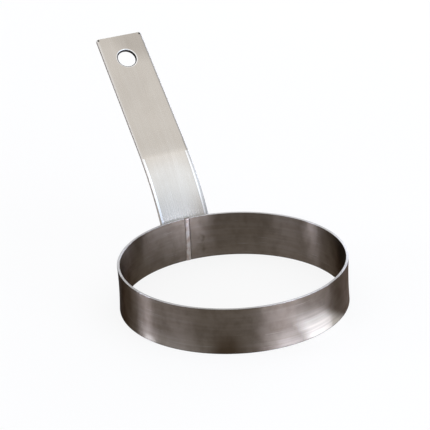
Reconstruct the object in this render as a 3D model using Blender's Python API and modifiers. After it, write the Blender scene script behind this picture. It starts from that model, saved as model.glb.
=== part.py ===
"""Egg ring: an open band of stainless strip with an upright strap handle spot welded to its back.

The handle stands at +Y, +Z is up and the band rests on z = 0.
The origin is the middle of the whole object's footprint, between the band's front and the handle's tip.
Run with: blender --background --python part.py
"""

import math

import bmesh
import bpy
from mathutils import Matrix, Vector

MM = 0.001

# Band: a strip rolled into a ring, its two ends butt welded behind the handle
RING_DIAMETER = 101.6 * MM
RING_HEIGHT = 21.0 * MM
BAND_THICKNESS = 1.2 * MM
BAND_EDGE_ROUND = 0.2 * MM
BAND_STEPS = 96

# Seam: the weld bead that fills the gap between the strip's two ends
SEAM_GAP = 2.6 * MM
SEAM_CROWN = 0.15 * MM
SEAM_SHOULDER_SHARE = 1 / 3
SEAM_SHOULDER_SEGMENTS = 3

# Handle: a flat strap, upright against the band, kicked back above it, swept and then straight
HANDLE_THICKNESS = 1.5 * MM
HANDLE_FOOT_WIDTH = 24.0 * MM
HANDLE_TIP_WIDTH = 22.6 * MM
HANDLE_EDGE_ROUND = 0.3 * MM
FOOT_LIFT = 1.5 * MM
FOOT_HEIGHT = 11.5 * MM
KICK_RADIUS = 12.0 * MM
KICK_ANGLE = math.radians(26.5)
SWEEP_RADIUS = 95.0 * MM
SWEEP_ANGLE = math.radians(23.0)
BLADE_LENGTH = 60.0 * MM
FOOT_CORNER_RADIUS = 2.0 * MM
TIP_CORNER_RADIUS = 1.4 * MM
CORNER_SEGMENTS = 5
HANDLE_COLUMNS = 10
FOOT_ROWS = 2
KICK_ROWS = 6
SWEEP_ROWS = 10

# Hanging hole: punched near the tip, its edge broken on both faces
HOLE_DIAMETER = 8.6 * MM
HOLE_EDGE_BREAK = 0.45 * MM
HOLE_TO_TIP = 12.7 * MM
HOLE_STEPS = 40

# Spot welds: a lens of fused metal at each point, half in the band and half in the handle's foot
WELD_COLUMNS = 2
WELD_ROWS = 2
WELD_DIAMETER = 4.0 * MM
WELD_DEPTH = 0.6 * MM
WELD_COLUMN_PITCH = 12.0 * MM
WELD_ROW_PITCH = 5.4 * MM
ELECTRODE_DIAMETER = 4.8 * MM
ELECTRODE_DEPTH = 0.15 * MM
WELD_SEGMENTS = 20
WELD_RINGS = 8

# Clearance between pieces that touch, how far a cutter runs past what it cuts, and what counts as one point
CLEARANCE = 0.3 * MM
OVERRUN = 1.0 * MM
SAME_POINT = 0.01 * MM

# Sizes that follow from the ones above
RING_RADIUS = RING_DIAMETER / 2
FOOT_RADIUS = RING_RADIUS + CLEARANCE + HANDLE_THICKNESS / 2
LEAN = KICK_ANGLE + SWEEP_ANGLE
KICK_LENGTH = KICK_RADIUS * KICK_ANGLE
SWEEP_LENGTH = SWEEP_RADIUS * SWEEP_ANGLE
KICK_START = FOOT_HEIGHT
SWEEP_START = KICK_START + KICK_LENGTH
BLADE_START = SWEEP_START + SWEEP_LENGTH
HANDLE_LENGTH = BLADE_START + BLADE_LENGTH


def handle_line(along):
    """The strap's middle line at a length from the foot's end: distance from the axis, height and lean."""
    radius = FOOT_RADIUS
    height = FOOT_LIFT + min(along, FOOT_HEIGHT)
    lean = 0.0
    for start, bend_radius, angle in (
        (KICK_START, KICK_RADIUS, KICK_ANGLE),
        (SWEEP_START, SWEEP_RADIUS, SWEEP_ANGLE),
    ):
        turned = min(max(along - start, 0.0) / bend_radius, angle)
        radius += bend_radius * (math.cos(lean) - math.cos(lean + turned))
        height += bend_radius * (math.sin(lean + turned) - math.sin(lean))
        lean += turned
    straight = max(along - BLADE_START, 0.0)
    return radius + straight * math.sin(lean), height + straight * math.cos(lean), lean


TIP_REACH = handle_line(HANDLE_LENGTH)[0] + HANDLE_THICKNESS / 2 * math.cos(LEAN)
RING_CENTRE = Vector((0.0, (RING_RADIUS - TIP_REACH) / 2, 0.0))


def clear_scene():
    """Removes every object that the scene starts with."""
    for thing in list(bpy.data.objects):
        bpy.data.objects.remove(thing)


def new_collection(name):
    collection = bpy.data.collections.new(name)
    bpy.context.scene.collection.children.link(collection)
    return collection


def steel(name, colour, roughness):
    """A Principled BSDF material for one steel piece."""
    material = bpy.data.materials.new(name)
    material.use_nodes = True
    shader = material.node_tree.nodes["Principled BSDF"]
    shader.inputs["Base Color"].default_value = (*colour, 1.0)
    shader.inputs["Metallic"].default_value = 1.0
    shader.inputs["Roughness"].default_value = roughness
    return material


def add_object(name, mesh, collection, material=None, place=Matrix()):
    thing = bpy.data.objects.new(name, mesh)
    collection.objects.link(thing)
    thing.matrix_world = place
    if material:
        mesh.materials.append(material)
    return thing


def add_cutter(name, mesh, collection, place):
    """A hidden helper that a Boolean subtracts."""
    cutter = add_object(name, mesh, collection, place=place)
    cutter.display_type = "WIRE"
    cutter.hide_render = True
    return cutter


def mesh_from(bm, name, smooth=True):
    mesh = bpy.data.meshes.new(name)
    bm.to_mesh(mesh)
    bm.free()
    if smooth:
        mesh.shade_smooth()
        mesh.set_sharp_from_angle(angle=math.radians(30))
    return mesh


def add_turn(thing, angle, steps):
    """Turns a profile about the object's Z axis."""
    screw = thing.modifiers.new("turn", "SCREW")
    screw.angle = angle
    screw.steps = steps
    screw.render_steps = steps
    screw.use_merge_vertices = math.isclose(angle, math.tau)
    screw.merge_threshold = SAME_POINT


def add_wall(thing, thickness, offset):
    wall = thing.modifiers.new("wall", "SOLIDIFY")
    wall.thickness = thickness
    wall.offset = offset
    wall.use_even_offset = True


def add_edge_round(thing, width, segments=2):
    edge_round = thing.modifiers.new("edge_round", "BEVEL")
    edge_round.width = width
    edge_round.segments = segments
    edge_round.limit_method = "ANGLE"
    edge_round.angle_limit = math.radians(50)


def add_cuts(thing, cutters):
    """Subtracts every cutter of a collection."""
    cut = thing.modifiers.new("cuts", "BOOLEAN")
    cut.operation = "DIFFERENCE"
    cut.operand_type = "COLLECTION"
    cut.collection = cutters
    cut.solver = "EXACT"


def profile_mesh(name, points):
    """A mesh of edges only, joining points (x, z) in their order."""
    bm = bmesh.new()
    verts = [bm.verts.new((x, 0.0, z)) for x, z in points]
    for first, second in zip(verts, verts[1:]):
        bm.edges.new((first, second))
    return mesh_from(bm, name, smooth=False)


def lens_mesh(name, radius, half_thickness):
    """A lens with its axis on local X."""
    bm = bmesh.new()
    bmesh.ops.create_uvsphere(bm, u_segments=WELD_SEGMENTS, v_segments=WELD_RINGS, radius=1.0)
    bmesh.ops.scale(bm, vec=(radius, radius, half_thickness), verts=bm.verts)
    bmesh.ops.rotate(bm, matrix=Matrix.Rotation(math.pi / 2, 3, "Y"), verts=bm.verts)
    return mesh_from(bm, name)


def weld_spots():
    """The azimuth and height of each spot weld, column by column."""
    middle = FOOT_LIFT + FOOT_HEIGHT / 2
    for column in range(WELD_COLUMNS):
        across = (column - (WELD_COLUMNS - 1) / 2) * WELD_COLUMN_PITCH
        for row in range(WELD_ROWS):
            height = middle + (row - (WELD_ROWS - 1) / 2) * WELD_ROW_PITCH
            yield math.pi / 2 - across / RING_RADIUS, height


def on_ring(azimuth, radius, height):
    """A place whose X axis points away from the ring's axis."""
    outward = Matrix.Rotation(azimuth, 4, "Z") @ Matrix.Translation((radius, 0.0, height))
    return Matrix.Translation(RING_CENTRE) @ outward


def add_weld_cutters(band_cutters, handle_cutters):
    """The pocket that each weld fills in both sheets, and the electrodes' dimples on their free faces."""
    joint_radius = RING_RADIUS + CLEARANCE / 2
    pocket = lens_mesh("weld_pocket", WELD_DIAMETER / 2 + CLEARANCE, WELD_DEPTH + CLEARANCE / 2)
    dimple = lens_mesh("electrode_dimple", ELECTRODE_DIAMETER / 2, ELECTRODE_DEPTH)
    inside_radius = RING_RADIUS - BAND_THICKNESS
    outside_radius = FOOT_RADIUS + HANDLE_THICKNESS / 2
    for number, (azimuth, height) in enumerate(weld_spots(), start=1):
        in_joint = on_ring(azimuth, joint_radius, height)
        shared = add_cutter(f"pocket_cutter_{number}", pocket, band_cutters, in_joint)
        handle_cutters.objects.link(shared)
        on_inside = on_ring(azimuth, inside_radius, height)
        add_cutter(f"inside_dimple_cutter_{number}", dimple, band_cutters, on_inside)
        on_outside = on_ring(azimuth, outside_radius, height)
        add_cutter(f"outside_dimple_cutter_{number}", dimple, handle_cutters, on_outside)


def on_blade(along):
    """A place inside the blade: Z points out of its front face, X across it and Y towards its tip."""
    radius, height, lean = handle_line(along)
    middle = Matrix.Translation(RING_CENTRE + Vector((0.0, radius, height)))
    return middle @ Matrix.Rotation(math.pi / 2 - lean, 4, "X")


def add_hole_cutter(handle_cutters):
    """A spool that cuts the hanging hole and breaks its edge on both faces."""
    bore = HOLE_DIAMETER / 2
    face = HANDLE_THICKNESS / 2
    flare = bore + HOLE_EDGE_BREAK + OVERRUN
    top = face + OVERRUN
    waist = face - HOLE_EDGE_BREAK
    profile = [(0.0, top), (flare, top), (bore, waist), (bore, -waist), (flare, -top), (0.0, -top)]
    mesh = profile_mesh("hole_profile", profile)
    cutter = add_cutter("hole_cutter", mesh, handle_cutters, on_blade(HANDLE_LENGTH - HOLE_TO_TIP))
    add_turn(cutter, math.tau, HOLE_STEPS)


def add_band(collection, cutters):
    """The strip, turned from end to end of the seam gap, its wall to the inside."""
    profile = [(RING_RADIUS, RING_HEIGHT), (RING_RADIUS, 0.0)]
    half_gap = SEAM_GAP / 2 / RING_RADIUS
    place = Matrix.Translation(RING_CENTRE) @ Matrix.Rotation(math.pi / 2 + half_gap, 4, "Z")
    brushed = steel("brushed_band", (0.50, 0.48, 0.46), 0.32)
    band = add_object("ring_band", profile_mesh("ring_band", profile), collection, brushed, place)
    add_turn(band, math.tau - 2 * half_gap, BAND_STEPS)
    add_wall(band, BAND_THICKNESS, -1.0)
    add_edge_round(band, BAND_EDGE_ROUND)
    add_cuts(band, cutters)


def is_inside_corner(edge):
    """Whether an edge of the bead stands upright on its inner side."""
    first, second = (vert.co for vert in edge.verts)
    return first.x == second.x and first.y < 0 and second.y < 0


def add_seam_weld(collection):
    """The bead between the strip's ends: flush outside, and a little crowned inside."""
    width = SEAM_GAP - 2 * CLEARANCE
    depth = BAND_THICKNESS + SEAM_CROWN
    bm = bmesh.new()
    bmesh.ops.create_cube(bm, size=1.0)
    bmesh.ops.scale(bm, vec=(width, depth, RING_HEIGHT), verts=bm.verts)
    bmesh.ops.bevel(
        bm,
        geom=[edge for edge in bm.edges if is_inside_corner(edge)],
        offset=width * SEAM_SHOULDER_SHARE,
        segments=SEAM_SHOULDER_SEGMENTS,
        profile=0.5,
        affect="EDGES",
    )
    place = Matrix.Translation(RING_CENTRE + Vector((0.0, RING_RADIUS - depth / 2, RING_HEIGHT / 2)))
    fused = steel("fused_seam", (0.46, 0.43, 0.40), 0.40)
    add_object("ring_seam_weld", mesh_from(bm, "ring_seam_weld"), collection, fused, place)


def handle_width(along):
    """The strap's width: even along the foot, then tapering to the tip."""
    share = max(along - FOOT_HEIGHT, 0.0) / (HANDLE_LENGTH - FOOT_HEIGHT)
    return HANDLE_FOOT_WIDTH + (HANDLE_TIP_WIDTH - HANDLE_FOOT_WIDTH) * share


def section_curve(along):
    """How sharply the strap is curved across: with the band at its foot, easing to flat at the blade."""
    share = min(max(along - KICK_START, 0.0) / (BLADE_START - KICK_START), 1.0)
    ease = 1.0 - share * share * (3.0 - 2.0 * share)
    return ease / FOOT_RADIUS


def handle_point(across, along):
    """Where a point of the strap's flat pattern lies once the strap is formed."""
    radius, height, lean = handle_line(along)
    curve = section_curve(along)
    if curve > 0.0:
        turn = across * curve
        side = math.sin(turn) / curve
        rise = (1.0 - math.cos(turn)) / curve
    else:
        side = across
        rise = 0.0
    return RING_CENTRE + Vector((side, radius - rise * math.cos(lean), height + rise * math.sin(lean)))


def handle_stations():
    """Lengths along the strap at which its flat pattern has a row of points."""
    stations = [0.0]
    for start, length, rows in (
        (0.0, FOOT_HEIGHT, FOOT_ROWS),
        (KICK_START, KICK_LENGTH, KICK_ROWS),
        (SWEEP_START, SWEEP_LENGTH, SWEEP_ROWS),
        (BLADE_START, BLADE_LENGTH, 1),
    ):
        stations += [start + length * row / rows for row in range(1, rows + 1)]
    return stations


def handle_mesh():
    """The strap's middle surface: a flat pattern with rounded corners, bent to shape point by point."""
    stations = handle_stations()
    rows = len(stations) - 1
    bm = bmesh.new()
    bmesh.ops.create_grid(bm, x_segments=HANDLE_COLUMNS, y_segments=rows, size=0.5)
    for vert in bm.verts:
        along = stations[round((vert.co.y + 0.5) * rows)]
        vert.co = Vector((vert.co.x * handle_width(along), along, 0.0))
    corners = [vert for vert in bm.verts if len(vert.link_edges) == 2]
    foot_corners = [vert for vert in corners if vert.co.y < HANDLE_LENGTH / 2]
    tip_corners = [vert for vert in corners if vert.co.y > HANDLE_LENGTH / 2]
    for ends, radius in ((foot_corners, FOOT_CORNER_RADIUS), (tip_corners, TIP_CORNER_RADIUS)):
        bmesh.ops.bevel(
            bm, geom=ends, offset=radius, segments=CORNER_SEGMENTS, profile=0.5, affect="VERTICES"
        )
    for vert in bm.verts:
        vert.co = handle_point(vert.co.x, vert.co.y)
    return mesh_from(bm, "handle_strap")


def add_handle(collection, cutters):
    satin = steel("satin_strap", (0.62, 0.60, 0.57), 0.35)
    handle = add_object("handle_strap", handle_mesh(), collection, satin)
    add_wall(handle, HANDLE_THICKNESS, 0.0)
    add_edge_round(handle, HANDLE_EDGE_ROUND)
    add_cuts(handle, cutters)


def add_spot_welds(collection):
    """One lens of fused metal in each pocket."""
    fused = steel("fused_spot", (0.46, 0.43, 0.40), 0.45)
    joint_radius = RING_RADIUS + CLEARANCE / 2
    for number, (azimuth, height) in enumerate(weld_spots(), start=1):
        name = f"spot_weld_{number}"
        mesh = lens_mesh(name, WELD_DIAMETER / 2, WELD_DEPTH - CLEARANCE / 2)
        add_object(name, mesh, collection, fused, on_ring(azimuth, joint_radius, height))


def main():
    clear_scene()
    egg_ring = new_collection("egg_ring")
    cutters = new_collection("cutters")
    band_cutters = bpy.data.collections.new("band_cutters")
    handle_cutters = bpy.data.collections.new("handle_cutters")
    for group in (band_cutters, handle_cutters):
        cutters.children.link(group)
    add_weld_cutters(band_cutters, handle_cutters)
    add_hole_cutter(handle_cutters)
    add_band(egg_ring, band_cutters)
    add_seam_weld(egg_ring)
    add_handle(egg_ring, handle_cutters)
    add_spot_welds(egg_ring)


main()
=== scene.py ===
"""The looks of the egg ring: a brushed steel band, its strap handle, the seam bead and the weld marks."""

import logging
import math
from collections.abc import Callable, Iterable
from dataclasses import dataclass, replace
from enum import Enum

import bmesh
import bpy
from bpy.types import Material, MeshPolygon, Node, NodeSocket, Object
from mathutils import Matrix, Vector


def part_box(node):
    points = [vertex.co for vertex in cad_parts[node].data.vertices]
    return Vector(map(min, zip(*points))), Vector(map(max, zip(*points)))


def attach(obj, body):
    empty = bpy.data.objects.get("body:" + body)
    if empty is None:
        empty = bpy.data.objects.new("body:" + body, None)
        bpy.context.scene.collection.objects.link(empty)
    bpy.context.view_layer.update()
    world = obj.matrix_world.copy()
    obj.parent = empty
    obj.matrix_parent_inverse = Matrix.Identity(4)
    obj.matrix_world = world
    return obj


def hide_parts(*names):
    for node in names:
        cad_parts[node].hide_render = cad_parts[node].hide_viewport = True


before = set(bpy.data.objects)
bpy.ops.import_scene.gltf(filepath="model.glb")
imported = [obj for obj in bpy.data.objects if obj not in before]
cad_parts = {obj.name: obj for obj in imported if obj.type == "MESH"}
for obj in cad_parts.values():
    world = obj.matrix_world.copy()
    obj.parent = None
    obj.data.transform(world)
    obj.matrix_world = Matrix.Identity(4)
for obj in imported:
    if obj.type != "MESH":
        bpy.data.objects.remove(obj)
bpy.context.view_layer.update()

MM = 0.001
UP = (0.0, 0.0, 1.0)
SIDEWAYS = (1.0, 0.0, 0.0)
ROOT = "root"
IMAGE_PIXELS = 430

RING_DIAMETER = 101.6 * MM
BAND_HEIGHT = 21.0 * MM
BAND_WALL = 1.2 * MM
BAND_SADDLE = 0.3 * MM
MERGE_DISTANCE = 0.001 * MM

Pair = tuple[float, float]
Triple = tuple[float, float, float]
Colour = tuple[float, float, float]

log = logging.getLogger("egg_ring")


def leave_edit_mode() -> None:
    """Goes back to object mode with nothing selected."""
    if bpy.context.mode != "OBJECT":
        bpy.ops.object.mode_set(mode="OBJECT")
    bpy.ops.object.select_all(action="DESELECT")


def pick(thing: Object) -> None:
    """Selects one object alone, in object mode, and makes it the active one.

    Args:
        thing: The object to work on.
    """
    leave_edit_mode()
    bpy.context.view_layer.objects.active = thing
    thing.select_set(True)


def edit(thing: Object) -> None:
    """Opens one object in edit mode with none of its mesh selected.

    Args:
        thing: The object to work on.
    """
    pick(thing)
    bpy.ops.object.mode_set(mode="EDIT")
    bpy.ops.mesh.select_all(action="DESELECT")


def settle(thing: Object) -> None:
    """Moves an object's place, turn and scale into its mesh.

    Args:
        thing: The object that was just added.
    """
    pick(thing)
    bpy.ops.object.transform_apply(location=True, rotation=True, scale=True)


def select_points(test: Callable[[Vector], bool]) -> None:
    """Selects the points of the mesh in edit mode whose place passes a test.

    Args:
        test: Says for a point's place whether it is wanted.
    """
    bpy.ops.mesh.select_mode(type="VERT")
    mesh = bpy.context.edit_object.data
    bm = bmesh.from_edit_mesh(mesh)
    for vert in bm.verts:
        vert.select_set(test(vert.co))
    bm.select_flush_mode()
    bmesh.update_edit_mesh(mesh)


def select_edges(test: Callable[[Vector, Vector], bool]) -> None:
    """Selects the edges of the mesh in edit mode whose two ends pass a test together.

    Args:
        test: Says for an edge's two ends whether it is wanted.
    """
    bpy.ops.mesh.select_mode(type="EDGE")
    mesh = bpy.context.edit_object.data
    bm = bmesh.from_edit_mesh(mesh)
    for edge in bm.edges:
        edge.select_set(test(edge.verts[0].co, edge.verts[1].co))
    bmesh.update_edit_mesh(mesh)


def cut_across(
    places: Iterable[float], normal: Triple, within: Callable[[Vector], bool] | None = None
) -> None:
    """Cuts the mesh in edit mode by parallel planes.

    Args:
        places: How far each plane is from the origin, along the normal.
        normal: The planes' unit normal.
        within: Says for a point's place whether its faces are cut; all are if it is left out.
    """
    for place in places:
        if within is None:
            bpy.ops.mesh.select_all(action="SELECT")
        else:
            select_points(within)
        bpy.ops.mesh.bisect(plane_co=Vector(normal) * place, plane_no=normal)


def apply_modifier(thing: Object, kind: str, **settings: object) -> None:
    """Adds a modifier to an object and applies it at once.

    Args:
        thing: The object to change.
        kind: Blender's name for the modifier's type.
        settings: The modifier's own properties.
    """
    pick(thing)
    modifier = thing.modifiers.new(kind.lower(), kind)
    for name, value in settings.items():
        setattr(modifier, name, value)
    bpy.ops.object.modifier_apply(modifier=modifier.name)


def smooth_faces(thing: Object, angle: float = 35.0) -> None:
    """Shades an object smooth up to an angle, large faces keeping their own normal.

    Args:
        thing: The object to shade.
        angle: The sharpest edge, in degrees, that is still shaded smooth.
    """
    pick(thing)
    bpy.ops.object.shade_smooth_by_angle(angle=math.radians(angle))
    apply_modifier(thing, "WEIGHTED_NORMAL", mode="FACE_AREA", keep_sharp=True)


def ease(share: float) -> float:
    """A smooth step from 1 at share 0 down to 0 at share 1."""
    held = min(max(share, 0.0), 1.0)
    return 1.0 - held * held * (3.0 - 2.0 * held)


def set_point_values(thing: Object, name: str, value: Callable[[Vector], float]) -> None:
    """Stores a number on each point of a mesh, for its material to read, or raises the one that is there.

    Args:
        thing: The object to mark.
        name: The attribute's name.
        value: Gives the number for a point's place.
    """
    mesh = thing.data
    attribute = mesh.attributes.get(name) or mesh.attributes.new(name, "FLOAT", "POINT")
    for vert, entry in zip(mesh.vertices, attribute.data):
        entry.value = max(entry.value, value(vert.co))


def set_face_values(thing: Object, name: str, value: Callable[[MeshPolygon], float]) -> None:
    """Stores a number on each face of a mesh, for its material to read, or raises the one that is there.

    Args:
        thing: The object to mark.
        name: The attribute's name.
        value: Gives the number for a face.
    """
    mesh = thing.data
    numbers = [value(face) for face in mesh.polygons]
    attribute = mesh.attributes.get(name) or mesh.attributes.new(name, "FLOAT", "FACE")
    for number, entry in zip(numbers, attribute.data):
        entry.value = max(entry.value, number)


def weigh_points(thing: Object, name: str, weight: Callable[[Vector], float]) -> None:
    """Makes a vertex group whose weights follow the points' places.

    Args:
        thing: The object to give the group.
        name: The group's name.
        weight: Gives the weight, from 0 to 1, for a point's place.
    """
    group = thing.vertex_groups.new(name=name)
    for vert in thing.data.vertices:
        amount = weight(vert.co)
        if amount > 0.0:
            group.add([vert.index], amount, "REPLACE")


def displace(
    thing: Object, name: str, weight: Callable[[Vector], float], distance: float, way: str = "NORMAL"
) -> None:
    """Moves a mesh's points by weights that follow their places.

    Args:
        thing: The object to change.
        name: The name of the vertex group that holds the weights.
        weight: Gives the weight, from 0 to 1, for a point's place.
        distance: How far a point of weight 1 moves.
        way: Blender's name for the direction in which the points move.
    """
    weigh_points(thing, name, weight)
    apply_modifier(thing, "DISPLACE", vertex_group=name, strength=distance, mid_level=0.0, direction=way)


def saddle_share(rise: float, height: float) -> float:
    """How far a rolled strip's wall is drawn in at a height: 1 in the middle, 0 at both edges."""
    return max(0.0, 1.0 - (2.0 * rise / height - 1.0) ** 2)


class Brushing(Enum):
    """Which way the brush strokes run on a piece."""

    ROUND_THE_BAND = "round the band"
    ALONG_THE_STRAP = "along the strap"


@dataclass(frozen=True)
class Grain:
    """A noise pattern: its repeats for each metre along X, Y and Z, and how it breaks up."""

    repeats: Triple
    detail: float
    breaks: float = 0.5
    turn: float = 0.0


@dataclass(frozen=True)
class Strokes:
    """One layer of brush strokes: their length and width, how they break up, and their turn in degrees."""

    length: float
    width: float
    detail: float
    breaks: float = 0.5
    turn: float = 0.0

    def grain(self, brushing: Brushing) -> Grain:
        """The strokes as a noise pattern, for the way in which the piece is brushed."""
        along, across = 1.0 / self.length, 1.0 / self.width
        repeats = (across, along, along)
        if brushing is Brushing.ROUND_THE_BAND:
            repeats = (along, along, across)
        return Grain(repeats, self.detail, self.breaks, self.turn)


class Sheet:
    """One material's node tree, with a method for each kind of node that the finishes use."""

    def __init__(self, name: str) -> None:
        """Starts a material with its Principled BSDF.

        Args:
            name: The material's name.
        """
        self.material: Material = bpy.data.materials.new(name)
        self.material.use_nodes = True
        self.nodes = self.material.node_tree.nodes
        self.links = self.material.node_tree.links
        self.shader: Node = self.nodes["Principled BSDF"]

    def put(self, socket: NodeSocket, value: object) -> None:
        """Links or sets one input.

        Args:
            socket: The input.
            value: An output socket to link, or a value to set.
        """
        if isinstance(value, NodeSocket):
            self.links.new(value, socket)
        else:
            socket.default_value = value

    def place(self) -> NodeSocket:
        """The point's place on the object, in metres."""
        return self.nodes.new("ShaderNodeTexCoord").outputs["Object"]

    def face_normal(self) -> NodeSocket:
        """The surface's normal."""
        return self.nodes.new("ShaderNodeNewGeometry").outputs["Normal"]

    def attribute(self, name: str) -> NodeSocket:
        """A number stored on the mesh's points or faces."""
        node = self.nodes.new("ShaderNodeAttribute")
        node.attribute_name = name
        return node.outputs["Fac"]

    def vector(self, operation: str, first: object, second: object = None) -> NodeSocket:
        """A Vector Math node's vector result."""
        node = self.nodes.new("ShaderNodeVectorMath")
        node.operation = operation
        self.put(node.inputs[0], first)
        if second is not None:
            self.put(node.inputs[1], second)
        return node.outputs["Vector"]

    def near(self, spot: Vector, size: float) -> NodeSocket:
        """1 at a spot on the object, fading to 0 at a distance from it."""
        node = self.nodes.new("ShaderNodeVectorMath")
        node.operation = "DISTANCE"
        self.put(node.inputs[0], self.place())
        self.put(node.inputs[1], spot)
        return self.spread(node.outputs["Value"], (size / 2, size), (1.0, 0.0))

    def stretched(self, centre: Vector, scale: Triple, turn: float) -> NodeSocket:
        """Object coordinates about a centre, turned about X and scaled.

        Args:
            centre: The pattern's centre on the object.
            scale: Repeats for each metre along X, Y and Z.
            turn: The pattern's turn about X, in degrees.

        Returns:
            The socket with the coordinates.
        """
        centred = self.vector("SUBTRACT", self.place(), centre)
        node = self.nodes.new("ShaderNodeMapping")
        node.vector_type = "POINT"
        node.inputs["Rotation"].default_value = (math.radians(turn), 0.0, 0.0)
        node.inputs["Scale"].default_value = scale
        self.put(node.inputs["Vector"], centred)
        return node.outputs["Vector"]

    def noise(self, where: NodeSocket, detail: float, roughness: float) -> NodeSocket:
        """A noise from 0 to 1 over coordinates that are already scaled."""
        node = self.nodes.new("ShaderNodeTexNoise")
        node.inputs["Scale"].default_value = 1.0
        node.inputs["Detail"].default_value = detail
        node.inputs["Roughness"].default_value = roughness
        self.put(node.inputs["Vector"], where)
        return node.outputs["Fac"]

    def grain(self, centre: Vector, grain: Grain) -> NodeSocket:
        """A noise pattern about a centre."""
        where = self.stretched(centre, grain.repeats, grain.turn)
        return self.noise(where, grain.detail, grain.breaks)

    def number(self, operation: str, first: object, second: object = 0.0) -> NodeSocket:
        """A Math node's result, kept from 0 to 1."""
        node = self.nodes.new("ShaderNodeMath")
        node.operation = operation
        node.use_clamp = True
        self.put(node.inputs[0], first)
        self.put(node.inputs[1], second)
        return node.outputs["Value"]

    def spread(self, value: NodeSocket, bounds: Pair, results: Pair) -> NodeSocket:
        """Maps a stretch of values onto another, smoothly and held at both ends."""
        node = self.nodes.new("ShaderNodeMapRange")
        node.interpolation_type = "SMOOTHSTEP"
        for name, limit in zip(("From Min", "From Max", "To Min", "To Max"), bounds + results):
            node.inputs[name].default_value = limit
        self.put(node.inputs["Value"], value)
        return node.outputs["Result"]

    def blend(self, share: object, first: object, second: object, way: str = "MIX") -> NodeSocket:
        """A mix of two colours."""
        node = self.nodes.new("ShaderNodeMix")
        node.data_type = "RGBA"
        node.blend_type = way
        self.put(node.inputs["Factor"], share)
        for name, value in (("A", first), ("B", second)):
            colour = (*value, 1.0) if isinstance(value, tuple) else value
            self.put(next(s for s in node.inputs if s.name == name and s.type == "RGBA"), colour)
        return next(s for s in node.outputs if s.type == "RGBA")

    def ramp(self, value: NodeSocket, stops: Iterable[tuple[float, Colour]]) -> NodeSocket:
        """A colour ramp through stops of place and colour."""
        node = self.nodes.new("ShaderNodeValToRGB")
        elements = node.color_ramp.elements
        for count, (place, colour) in enumerate(stops):
            element = elements[count] if count < len(elements) else elements.new(place)
            element.position = place
            element.color = (*colour, 1.0)
        self.put(node.inputs["Fac"], value)
        return node.outputs["Color"]

    def bump(
        self, height: NodeSocket, depth: float, strength: float, under: NodeSocket | None = None
    ) -> NodeSocket:
        """A bumped normal, on top of another if one is given."""
        node = self.nodes.new("ShaderNodeBump")
        node.inputs["Distance"].default_value = depth
        node.inputs["Strength"].default_value = strength
        self.put(node.inputs["Height"], height)
        if under is not None:
            self.put(node.inputs["Normal"], under)
        return node.outputs["Normal"]


@dataclass(frozen=True)
class RingPlace:
    """Where the ring stands: its axis and its outer radius, which the other pieces follow."""

    centre: Vector
    radius: float

    def on_wall(self, azimuth: float, radius: float, height: float) -> Vector:
        """A point at an azimuth, at a distance from the ring's axis and a height."""
        outward = Vector((math.cos(azimuth), math.sin(azimuth), 0.0)) * radius
        return self.centre + outward + Vector((0.0, 0.0, height))

    def reach(self, place: Vector) -> float:
        """How far a place is from the ring's axis."""
        return (place - self.centre).xy.length


@dataclass(frozen=True)
class WeldSpots:
    """The spot welds' pattern, and the marks that the electrodes leave on both free faces."""

    ring: RingPlace
    columns: int = 2
    rows: int = 2
    column_pitch: float = 12.0 * MM
    row_pitch: float = 5.4 * MM
    middle_height: float = 7.25 * MM
    mark_radius: float = 2.4 * MM
    mark_depth: float = 0.16 * MM
    mark_floor: float = 0.45
    tint_radius: float = 4.6 * MM

    def places(self, radius: float) -> list[Vector]:
        """Each weld's centre on a wall at a distance from the ring's axis."""
        found = []
        for column in range(self.columns):
            across = (column - (self.columns - 1) / 2) * self.column_pitch
            for row in range(self.rows):
                height = self.middle_height + (row - (self.rows - 1) / 2) * self.row_pitch
                found.append(self.ring.on_wall(math.pi / 2 - across / self.ring.radius, radius, height))
        return found

    def mark(self, place: Vector, radius: float) -> float:
        """How deep a point lies in an electrode's mark, from 0 to 1."""
        nearest = min((place - centre).length for centre in self.places(radius))
        return ease((nearest / self.mark_radius - self.mark_floor) / (1.0 - self.mark_floor))

    def tint(self, place: Vector, radius: float) -> float:
        """How much the heat of the nearest weld has tinted a point, from 0 to 1."""
        nearest = min((place - centre).length for centre in self.places(radius))
        return ease(nearest / self.tint_radius)


@dataclass(frozen=True)
class Patterns:
    """The patterns that a brushed finish's colour, gloss and relief share."""

    fine: NodeSocket
    broad: NodeSocket
    streaks: NodeSocket
    cloud: NodeSocket
    wear_and_highlight: NodeSocket
    sheared_and_shaded: NodeSocket


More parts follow.
